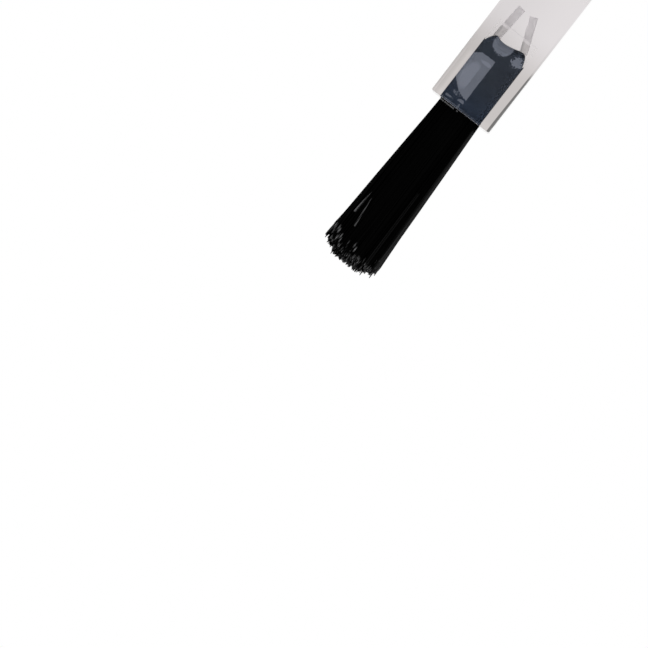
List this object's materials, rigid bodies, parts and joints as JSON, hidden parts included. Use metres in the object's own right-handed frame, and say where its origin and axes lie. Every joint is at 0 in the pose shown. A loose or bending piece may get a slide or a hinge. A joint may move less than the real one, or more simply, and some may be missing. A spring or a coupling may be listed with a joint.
{
  "type": "applicator brush cap",
  "caption": "Screw cap with a translucent applicator wand and a flared tuft of black bristles stapled into its flattened end, for a nail-care bottle.",
  "frame": {"origin": "centre of the overcap's flat top, which is the lowest point as the brush stands with its bristles up", "axes": "+Z along the wand from the cap's flat top towards the bristles; X runs across the tuft's broad side and Y through its thickness"},
  "size_m": [0.0188, 0.0188, 0.0755],
  "materials": {
    "cap_gloss": "gloss black moulding",
    "closure_plastic": "satin white moulding",
    "wand_plastic": "clear to milky soft moulding with a smooth skin",
    "staple_metal": "satin flat wire",
    "bristle": "black nylon filament, low sheen"
  },
  "bodies": {
    "root": {"overcap": "cap_gloss", "closure": "closure_plastic", "wand": "wand_plastic", "staple": "staple_metal", "bristle_tuft": "bristle"}
  },
  "joints": []
}
